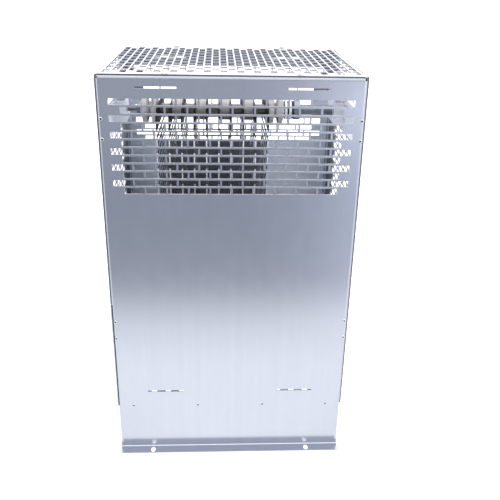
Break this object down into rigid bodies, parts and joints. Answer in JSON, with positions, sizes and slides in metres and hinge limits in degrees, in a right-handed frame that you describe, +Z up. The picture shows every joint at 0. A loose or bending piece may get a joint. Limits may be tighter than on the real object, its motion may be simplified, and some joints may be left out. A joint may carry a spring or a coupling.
{
  "type": "braking resistor",
  "caption": "Vented galvanised housing on folded feet around a bank of stamped resistor grids on ceramic-insulated tie rods, with a screwed terminal cover at one side.",
  "frame": {"origin": "middle of the footprint, on the floor under the folded feet", "axes": "+Z up; the front panel faces -Y; +X to the right of someone who faces the front panel"},
  "size_m": [0.297, 0.27, 0.4923],
  "materials": {
    "housing_sheet": "galvanised, satin",
    "inner_sheet": "galvanised, satin",
    "grid_steel": "rolled, satin",
    "ceramic": "unglazed ceramic",
    "mica": "pressed mica",
    "strap_metal": "tinned, satin",
    "bushing_plastic": "matt black",
    "switch_body": "moulded, matt",
    "fastener_steel": "zinc plated"
  },
  "bodies": {
    "root": {"bottom_grille": "housing_sheet", "cable_bushings": "bushing_plastic", "cover_screws": "fastener_steel", "earth_nuts": "fastener_steel", "earth_stud": "fastener_steel", "front_panel": "housing_sheet", "heat_shield": "inner_sheet", "hood_panel": "housing_sheet", "hood_screws": "fastener_steel", "left_connection_strap": "strap_metal", "lower_carrier_left": "inner_sheet", "lower_carrier_right": "inner_sheet", "lower_ceramic_spacers": "ceramic", "lower_end_insulators": "ceramic", "lower_grid_links": "grid_steel", "lower_insulating_tube": "mica", "lower_rod_brackets": "inner_sheet", "lower_rod_nuts": "fastener_steel", "lower_tie_rod": "fastener_steel", "rear_panel": "housing_sheet", "resistor_grid_01": "grid_steel", "resistor_grid_02": "grid_steel", "resistor_grid_03": "grid_steel", "resistor_grid_04": "grid_steel", "resistor_grid_05": "grid_steel", "resistor_grid_06": "grid_steel", "resistor_grid_07": "grid_steel", "resistor_grid_08": "grid_steel", "resistor_grid_09": "grid_steel", "resistor_grid_10": "grid_steel", "right_connection_strap": "strap_metal", "right_side_panel": "housing_sheet", "side_screws": "fastener_steel", "strap_bolts": "fastener_steel", "terminal_blocks": "ceramic", "terminal_cover": "housing_sheet", "terminal_plates": "strap_metal", "terminal_screws": "fastener_steel", "thermal_switch": "switch_body", "upper_carrier_left": "inner_sheet", "upper_carrier_right": "inner_sheet", "upper_ceramic_spacers": "ceramic", "upper_end_insulators": "ceramic", "upper_grid_links": "grid_steel", "upper_insulating_tube": "mica", "upper_rod_brackets": "inner_sheet", "upper_rod_nuts": "fastener_steel", "upper_tie_rod": "fastener_steel"}
  },
  "joints": []
}
